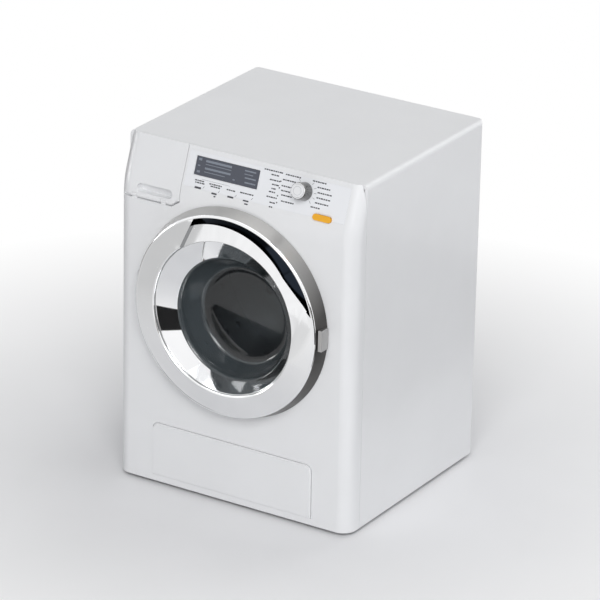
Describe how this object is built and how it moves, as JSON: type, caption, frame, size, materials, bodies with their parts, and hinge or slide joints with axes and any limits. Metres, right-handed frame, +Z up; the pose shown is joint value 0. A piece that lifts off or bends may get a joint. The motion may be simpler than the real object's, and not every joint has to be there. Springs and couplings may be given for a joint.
{
  "type": "toy washing machine",
  "caption": "Toy front-loading washing machine with chrome porthole door, tilting detergent drawer, turning drum, program knob and swing-out drain pipe",
  "frame": {"origin": "on the floor under the middle of the overall width and depth, door included", "axes": "+X to the machine's right side as seen from the front, +Y to the back, +Z up"},
  "size_m": [0.186, 0.1805, 0.248],
  "materials": {
    "white_shell": "injection-moulded white plastic, soft gloss",
    "pale_grey": "moulded light grey plastic, satin",
    "label_film": "printed white film, smooth",
    "display_glass": "dark blue-grey display film, glossy",
    "chrome_ring": "bright vacuum-plated chrome over plastic",
    "silver_plastic": "silver-grey moulded plastic, satin",
    "smoked_glass": "smoke-tinted clear plastic, glossy",
    "drum_metal": "silver-grey moulded drum, satin",
    "tub_plastic": "translucent grey-blue plastic, matte",
    "gear_plastic": "natural nylon, matte",
    "orange_plastic": "orange-yellow plastic, glossy",
    "dark_rubber": "dark soft rubber, matte",
    "grey_rubber": "grey door gasket rubber, matte",
    "steel": "plain steel wire, strip and screws",
    "brass_bush": "turned brass, satin",
    "motor_can": "zinc-plated steel can",
    "board_green": "green circuit board, satin lacquer",
    "black_plastic": "black moulded plastic, matte",
    "cell_wrap": "plain green battery sleeve, glossy"
  },
  "bodies": {
    "cabinet": {"housing": "white_shell", "front_panel": "white_shell", "plinth_panel": "white_shell", "rear_panel": "white_shell", "base_plate": "pale_grey", "feet": "dark_rubber", "rear_screws": "steel", "control_label": "label_film", "display_window": "display_glass", "detent_spring": "steel", "start_switch": "black_plastic", "circuit_board": "board_green", "board_posts": "pale_grey", "drawer_pin": "steel", "drawer_funnel": "tub_plastic", "hinge_bracket": "pale_grey", "hinge_pin": "steel", "latch_catch": "pale_grey", "door_seal": "grey_rubber", "tub": "tub_plastic", "shaft_bushes": "brass_bush", "idler_pin": "steel", "motor": "motor_can", "motor_cradle": "tub_plastic", "gear_plate": "tub_plastic", "speaker": "black_plastic", "battery_box": "black_plastic", "batteries": "cell_wrap", "battery_contacts": "steel", "battery_cover": "pale_grey", "drain_hose": "dark_rubber", "drain_seal": "dark_rubber"},
    "door": {"door_ring": "chrome_ring", "door_funnel": "chrome_ring", "door_bowl": "smoked_glass", "door_back": "pale_grey", "door_hook": "pale_grey", "door_tab": "silver_plastic"},
    "drawer": {"drawer_front": "white_shell", "drawer_cup": "pale_grey"},
    "drum": {"drum": "drum_metal", "drum_ribs": "pale_grey", "drum_shaft": "steel", "drum_gear": "gear_plastic"},
    "idler": {"idler_gear": "gear_plastic"},
    "rotor": {"motor_pinion": "brass_bush"},
    "knob": {"knob_body": "silver_plastic", "knob_cap": "white_shell", "knob_shaft": "pale_grey", "detent_wheel": "gear_plastic"},
    "start": {"start_button": "orange_plastic"},
    "drain": {"drain_pipe": "white_shell"}
  },
  "joints": [
    {"name": "door_swing", "type": "hinge", "parent": "cabinet", "child": "door", "pos_m": [-0.0712, -0.07915, 0.142], "axis": [0, 0, -1], "range_deg": [0, 110]},
    {"name": "drawer_tilt", "type": "hinge", "parent": "cabinet", "child": "drawer", "pos_m": [-0.068, -0.07375, 0.2084], "axis": [1, 0, 0], "range_deg": [0, 35]},
    {"name": "drum_turn", "type": "hinge", "parent": "cabinet", "child": "drum", "pos_m": [0, -0.01875, 0.1372], "axis": [0, 1, 0], "continuous": true},
    {"name": "idler_turn", "type": "hinge", "parent": "cabinet", "child": "idler", "pos_m": [0.01805, 0.04925, 0.10594], "axis": [0, 1, 0], "continuous": true},
    {"name": "motor_turn", "type": "hinge", "parent": "cabinet", "child": "rotor", "pos_m": [0.03979, 0.06125, 0.09339], "axis": [0, 1, 0], "continuous": true},
    {"name": "knob_turn", "type": "hinge", "parent": "cabinet", "child": "knob", "pos_m": [0.0489, -0.06777, 0.23654], "axis": [0, -0.9379, 0.3469], "continuous": true},
    {"name": "start_press", "type": "slide", "parent": "cabinet", "child": "start", "axis": [0, 0.9379, -0.3469], "range_m": [0, 0.001], "stiffness_N_per_m": 400, "springref_m": -0.0005},
    {"name": "drain_swing", "type": "hinge", "parent": "cabinet", "child": "drain", "pos_m": [0, 0.07925, 0.058], "axis": [-1, 0, 0], "range_deg": [0, 110]}
  ],
  "couplings": [
    {"joint": "idler_turn", "follows": "drum_turn", "ratio": -5},
    {"joint": "motor_turn", "follows": "drum_turn", "ratio": 20}
  ]
}
